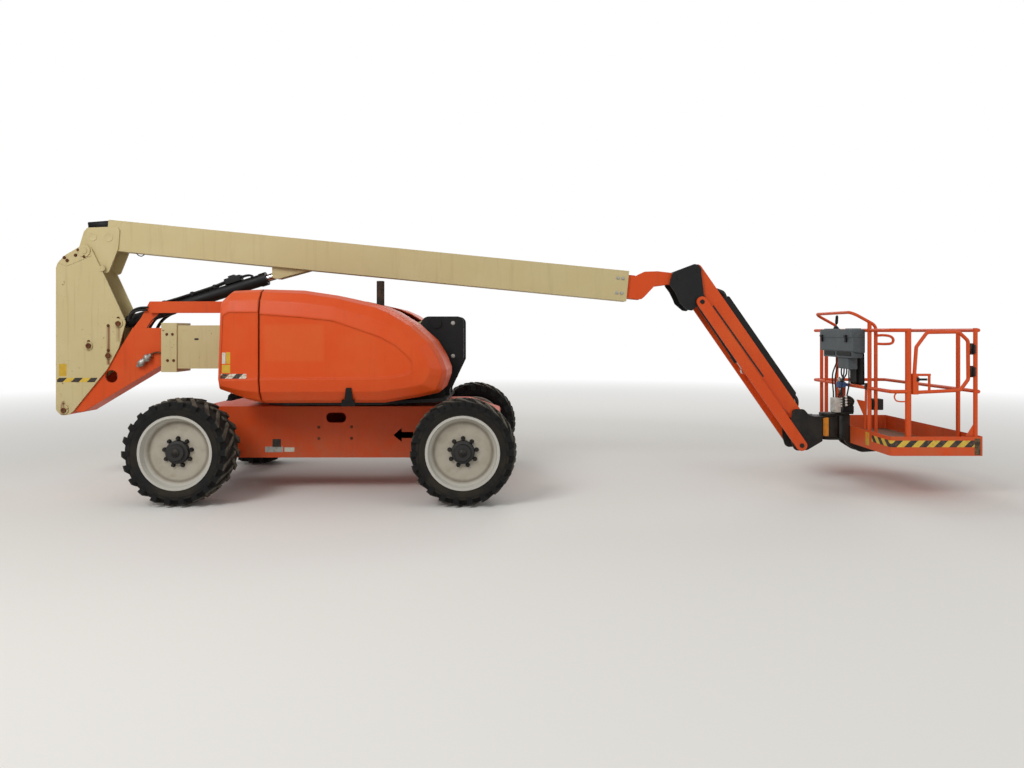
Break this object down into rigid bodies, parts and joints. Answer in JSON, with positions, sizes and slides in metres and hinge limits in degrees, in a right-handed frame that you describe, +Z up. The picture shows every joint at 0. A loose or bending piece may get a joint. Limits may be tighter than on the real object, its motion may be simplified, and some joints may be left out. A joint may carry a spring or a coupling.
{
  "type": "articulating boom lift",
  "caption": "Self-propelled articulating boom lift with a telescopic tower, upright, telescopic boom, jib and rotating platform, parked with its booms folded.",
  "frame": {"origin": "on the ground under the middle of the folded machine's outer box", "axes": "+X from the upright towards the platform, +Y to the far side, +Z up"},
  "size_m": [8.857, 2.49, 2.6523],
  "materials": {
    "orange_paint": "weathered gloss paint",
    "cream_paint": "weathered gloss paint",
    "black_paint": "satin paint",
    "rim_paint": "dusty paint",
    "tyre_rubber": "dusty rubber",
    "rod_chrome": "polished",
    "cast_weight": "painted casting",
    "machine_grey": "satin paint",
    "cover_plastic": "moulded"
  },
  "bodies": {
    "chassis": {"chassis_frame": "orange_paint", "steer_axle": "black_paint", "drive_axle": "black_paint"},
    "tie_rod": {"tie_rod": "black_paint"},
    "knuckle_near": {"steer_knuckle_near": "black_paint"},
    "knuckle_far": {"steer_knuckle_far": "black_paint"},
    "wheel_steer_near": {"tyre_steer_near": "tyre_rubber", "rim_steer_near": "rim_paint"},
    "wheel_steer_far": {"tyre_steer_far": "tyre_rubber", "rim_steer_far": "rim_paint"},
    "wheel_drive_near": {"tyre_drive_near": "tyre_rubber", "rim_drive_near": "rim_paint"},
    "wheel_drive_far": {"tyre_drive_far": "tyre_rubber", "rim_drive_far": "rim_paint"},
    "turntable": {"turntable_frame": "black_paint", "counterweight": "cast_weight", "tail_cap_near": "cast_weight", "tail_cap_far": "cast_weight", "engine_block": "machine_grey", "tank_block": "machine_grey", "exhaust_stack": "black_paint"},
    "hood_near": {"hood_near": "orange_paint"},
    "hood_far": {"hood_far": "orange_paint"},
    "tower_base": {"tower_base": "cream_paint"},
    "tower_fly": {"tower_fly": "orange_paint"},
    "upright": {"upright": "cream_paint"},
    "main_boom": {"main_boom": "cream_paint"},
    "main_fly": {"main_fly": "orange_paint"},
    "jib_knuckle": {"jib_knuckle": "black_paint"},
    "jib_arm": {"jib_arm": "orange_paint", "hose_cover": "cover_plastic"},
    "jib_links": {"jib_links": "orange_paint"},
    "jib_carrier": {"jib_carrier": "black_paint"},
    "platform": {"platform_support": "black_paint", "platform_deck": "orange_paint", "platform_rails": "orange_paint", "control_console": "machine_grey"},
    "gate": {"platform_gate": "orange_paint"},
    "tower_barrel": {"tower_cylinder_barrel": "black_paint"},
    "tower_rod": {"tower_cylinder_rod": "rod_chrome"},
    "main_barrel": {"main_cylinder_barrel": "black_paint"},
    "main_rod": {"main_cylinder_rod": "rod_chrome"},
    "jib_barrel": {"jib_cylinder_barrel": "black_paint"},
    "jib_rod": {"jib_cylinder_rod": "rod_chrome"}
  },
  "joints": [
    {"name": "steer_near", "type": "hinge", "parent": "chassis", "child": "knuckle_near", "pos_m": [-2.7615, -0.8525, 0.47], "axis": [0, 0, 1], "range_deg": [-35, 35]},
    {"name": "steer_far", "type": "hinge", "parent": "chassis", "child": "knuckle_far", "pos_m": [-2.7615, 0.8525, 0.47], "axis": [0, 0, 1], "range_deg": [-35, 35]},
    {"name": "tie_rod_near", "type": "hinge", "parent": "knuckle_near", "child": "tie_rod", "pos_m": [-2.5915, -0.8525, 0.32], "axis": [0, 0, 1], "range_deg": [-35, 35]},
    {"name": "spin_steer_near", "type": "hinge", "parent": "knuckle_near", "child": "wheel_steer_near", "pos_m": [-2.7615, -1.0675, 0.47], "axis": [0, 1, 0], "continuous": true},
    {"name": "spin_steer_far", "type": "hinge", "parent": "knuckle_far", "child": "wheel_steer_far", "pos_m": [-2.7615, 1.0675, 0.47], "axis": [0, 1, 0], "continuous": true},
    {"name": "spin_drive_near", "type": "hinge", "parent": "chassis", "child": "wheel_drive_near", "pos_m": [-0.2715, -1.0675, 0.47], "axis": [0, 1, 0], "continuous": true},
    {"name": "spin_drive_far", "type": "hinge", "parent": "chassis", "child": "wheel_drive_far", "pos_m": [-0.2715, 1.0675, 0.47], "axis": [0, 1, 0], "continuous": true},
    {"name": "swing", "type": "hinge", "parent": "chassis", "child": "turntable", "pos_m": [-1.5165, 0, 0.835], "axis": [0, 0, 1], "continuous": true},
    {"name": "hood_near_lift", "type": "hinge", "parent": "turntable", "child": "hood_near", "pos_m": [-1.7785, -0.378, 1.882], "axis": [-1, 0, 0], "range_deg": [0, 58]},
    {"name": "hood_far_lift", "type": "hinge", "parent": "turntable", "child": "hood_far", "pos_m": [-1.7785, 0.378, 1.882], "axis": [1, 0, 0], "range_deg": [0, 58]},
    {"name": "tower_lift", "type": "hinge", "parent": "turntable", "child": "tower_base", "pos_m": [-0.5985, 0, 1.61], "axis": [0, 1, 0], "range_deg": [0, 70]},
    {"name": "tower_extend", "type": "slide", "parent": "tower_base", "child": "tower_fly", "axis": [-1, 0, 0], "range_m": [0, 1.8]},
    {"name": "upright_level", "type": "hinge", "parent": "tower_fly", "child": "upright", "pos_m": [-4.3505, 0, 0.742], "axis": [0, -1, 0], "range_deg": [0, 70]},
    {"name": "main_lift", "type": "hinge", "parent": "upright", "child": "main_boom", "pos_m": [-4.1415, 0, 2.336], "axis": [0, -1, 0], "range_deg": [0, 75]},
    {"name": "main_extend", "type": "slide", "parent": "main_boom", "child": "main_fly", "axis": [0.9952, 0, -0.0981], "range_m": [0, 3.9]},
    {"name": "knuckle_level", "type": "hinge", "parent": "main_fly", "child": "jib_knuckle", "pos_m": [1.8445, 0, 2.064], "axis": [0, 1, 0], "range_deg": [0, 75]},
    {"name": "jib_lift", "type": "hinge", "parent": "jib_knuckle", "child": "jib_arm", "pos_m": [2.0385, 0, 2.142], "axis": [0, -1, 0], "range_deg": [-4, 122]},
    {"name": "jib_link_swing", "type": "hinge", "parent": "jib_knuckle", "child": "jib_links", "pos_m": [2.0655, 0, 1.822], "axis": [0, -1, 0], "range_deg": [-4, 122]},
    {"name": "carrier_level", "type": "hinge", "parent": "jib_arm", "child": "jib_carrier", "pos_m": [3.0375, 0, 0.7], "axis": [0, 1, 0], "range_deg": [-4, 122]},
    {"name": "platform_rotate", "type": "hinge", "parent": "jib_carrier", "child": "platform", "pos_m": [3.4015, 0, 0.56], "axis": [0, 0, 1], "range_deg": [-90, 90]},
    {"name": "gate_swing", "type": "hinge", "parent": "platform", "child": "gate", "pos_m": [4.3275, -0.8917, 1.25], "axis": [0, 0, -1], "range_deg": [0, 90]},
    {"name": "tower_barrel_turn", "type": "hinge", "parent": "turntable", "child": "tower_barrel", "pos_m": [-1.0585, 0, 0.96], "axis": [0, 1, 0], "range_deg": [0, 68.62]},
    {"name": "tower_rod_slide", "type": "slide", "parent": "tower_barrel", "child": "tower_rod", "axis": [-0.9948, 0, 0.1019], "range_m": [0, 0.921]},
    {"name": "main_barrel_turn", "type": "hinge", "parent": "upright", "child": "main_barrel", "pos_m": [-3.8005, 0, 1.61], "axis": [0, -1, 0], "range_deg": [0, 64.95]},
    {"name": "main_rod_slide", "type": "slide", "parent": "main_barrel", "child": "main_rod", "axis": [0.9537, 0, 0.3008], "range_m": [0, 0.904]},
    {"name": "jib_barrel_turn", "type": "hinge", "parent": "jib_knuckle", "child": "jib_barrel", "pos_m": [2.0655, 0, 1.822], "axis": [0, -1, 0], "range_deg": [-5, 122.97]},
    {"name": "jib_rod_slide", "type": "slide", "parent": "jib_barrel", "child": "jib_rod", "axis": [0.5577, 0, -0.83], "range_m": [-0.0284, 0.5717]}
  ],
  "couplings": [
    {"joint": "steer_far", "follows": "steer_near", "ratio": 1},
    {"joint": "tie_rod_near", "follows": "steer_near", "ratio": -1},
    {"joint": "upright_level", "follows": "tower_lift", "ratio": 1},
    {"joint": "tower_barrel_turn", "follows": "tower_lift", "ratio": 0.96608},
    {"joint": "tower_rod_slide", "follows": "tower_lift", "m_per_rad": 0.74568},
    {"joint": "knuckle_level", "follows": "main_lift", "ratio": 1},
    {"joint": "main_barrel_turn", "follows": "main_lift", "ratio": 0.85268},
    {"joint": "main_rod_slide", "follows": "main_lift", "m_per_rad": 0.68299},
    {"joint": "jib_link_swing", "follows": "jib_lift", "ratio": 1},
    {"joint": "carrier_level", "follows": "jib_lift", "ratio": 1},
    {"joint": "jib_barrel_turn", "follows": "jib_lift", "ratio": 0.99975},
    {"joint": "jib_rod_slide", "follows": "jib_lift", "m_per_rad": 0.26382}
  ]
}
